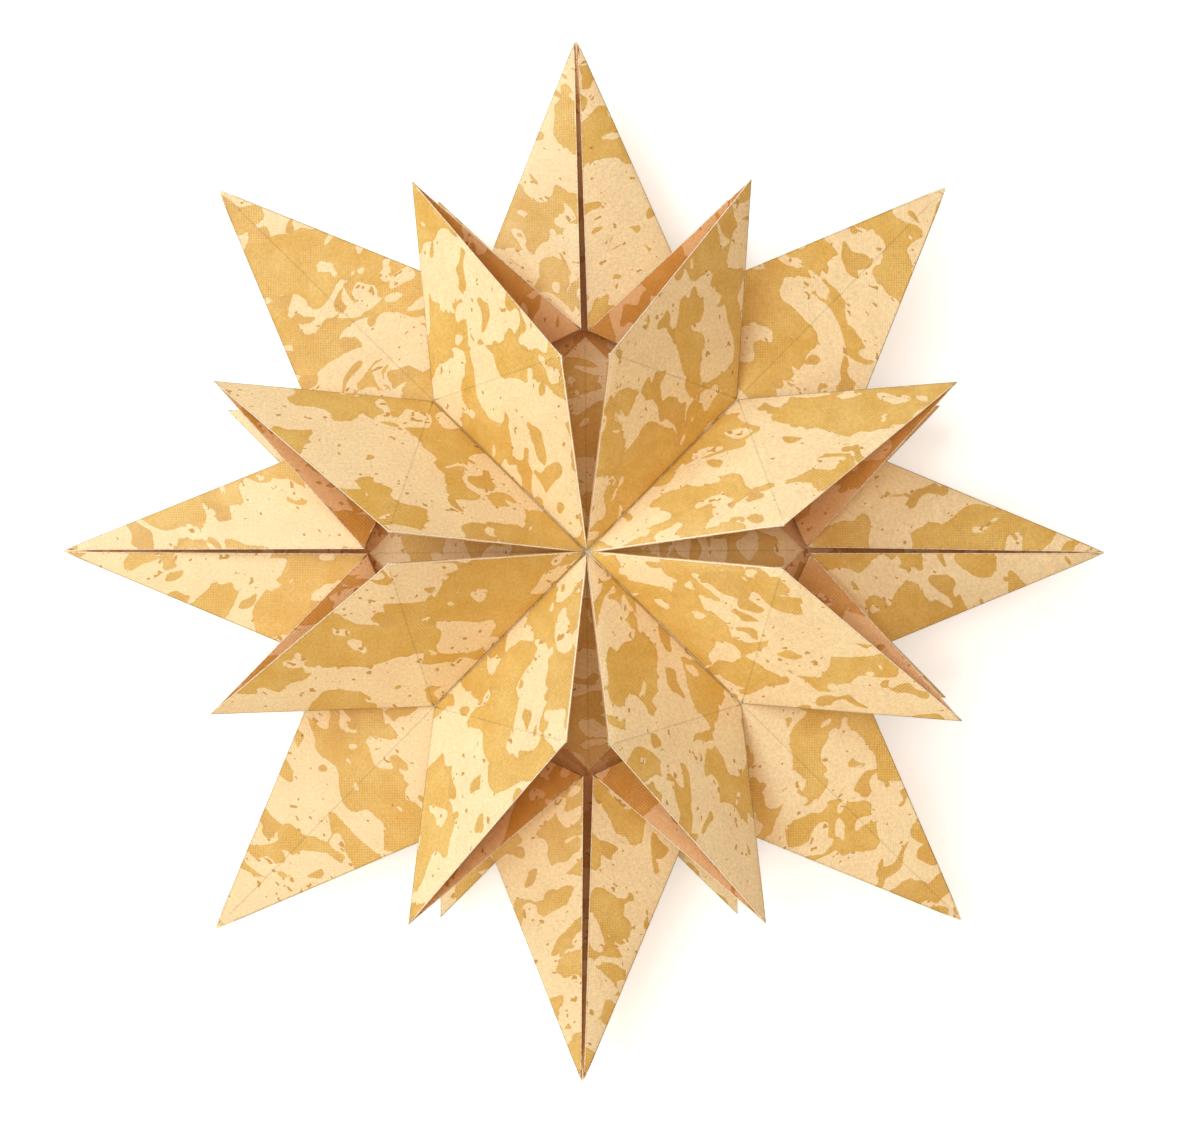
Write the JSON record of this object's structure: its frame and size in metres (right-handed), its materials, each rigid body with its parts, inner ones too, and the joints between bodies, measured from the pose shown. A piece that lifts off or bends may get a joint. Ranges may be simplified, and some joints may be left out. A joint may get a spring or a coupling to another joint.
{
  "type": "origami star",
  "caption": "Folded paper star of square sheets in two layers, with long points, raised wings and short spears around its centre.",
  "frame": {"origin": "below the star's centre, in the plane that it rests on", "axes": "+Z out of the star's face, +Y along the north point, +X along the east point"},
  "size_m": [0.3008, 0.3008, 0.0492],
  "materials": {
    "printed_paper": "matt, linen embossed, cream with gold print"
  },
  "bodies": {
    "root": {"front_sheet_north": "printed_paper", "front_sheet_east": "printed_paper", "front_sheet_south": "printed_paper", "front_sheet_west": "printed_paper", "back_sheet_northwest": "printed_paper", "back_sheet_northeast": "printed_paper", "back_sheet_southeast": "printed_paper", "back_sheet_southwest": "printed_paper"}
  },
  "joints": []
}
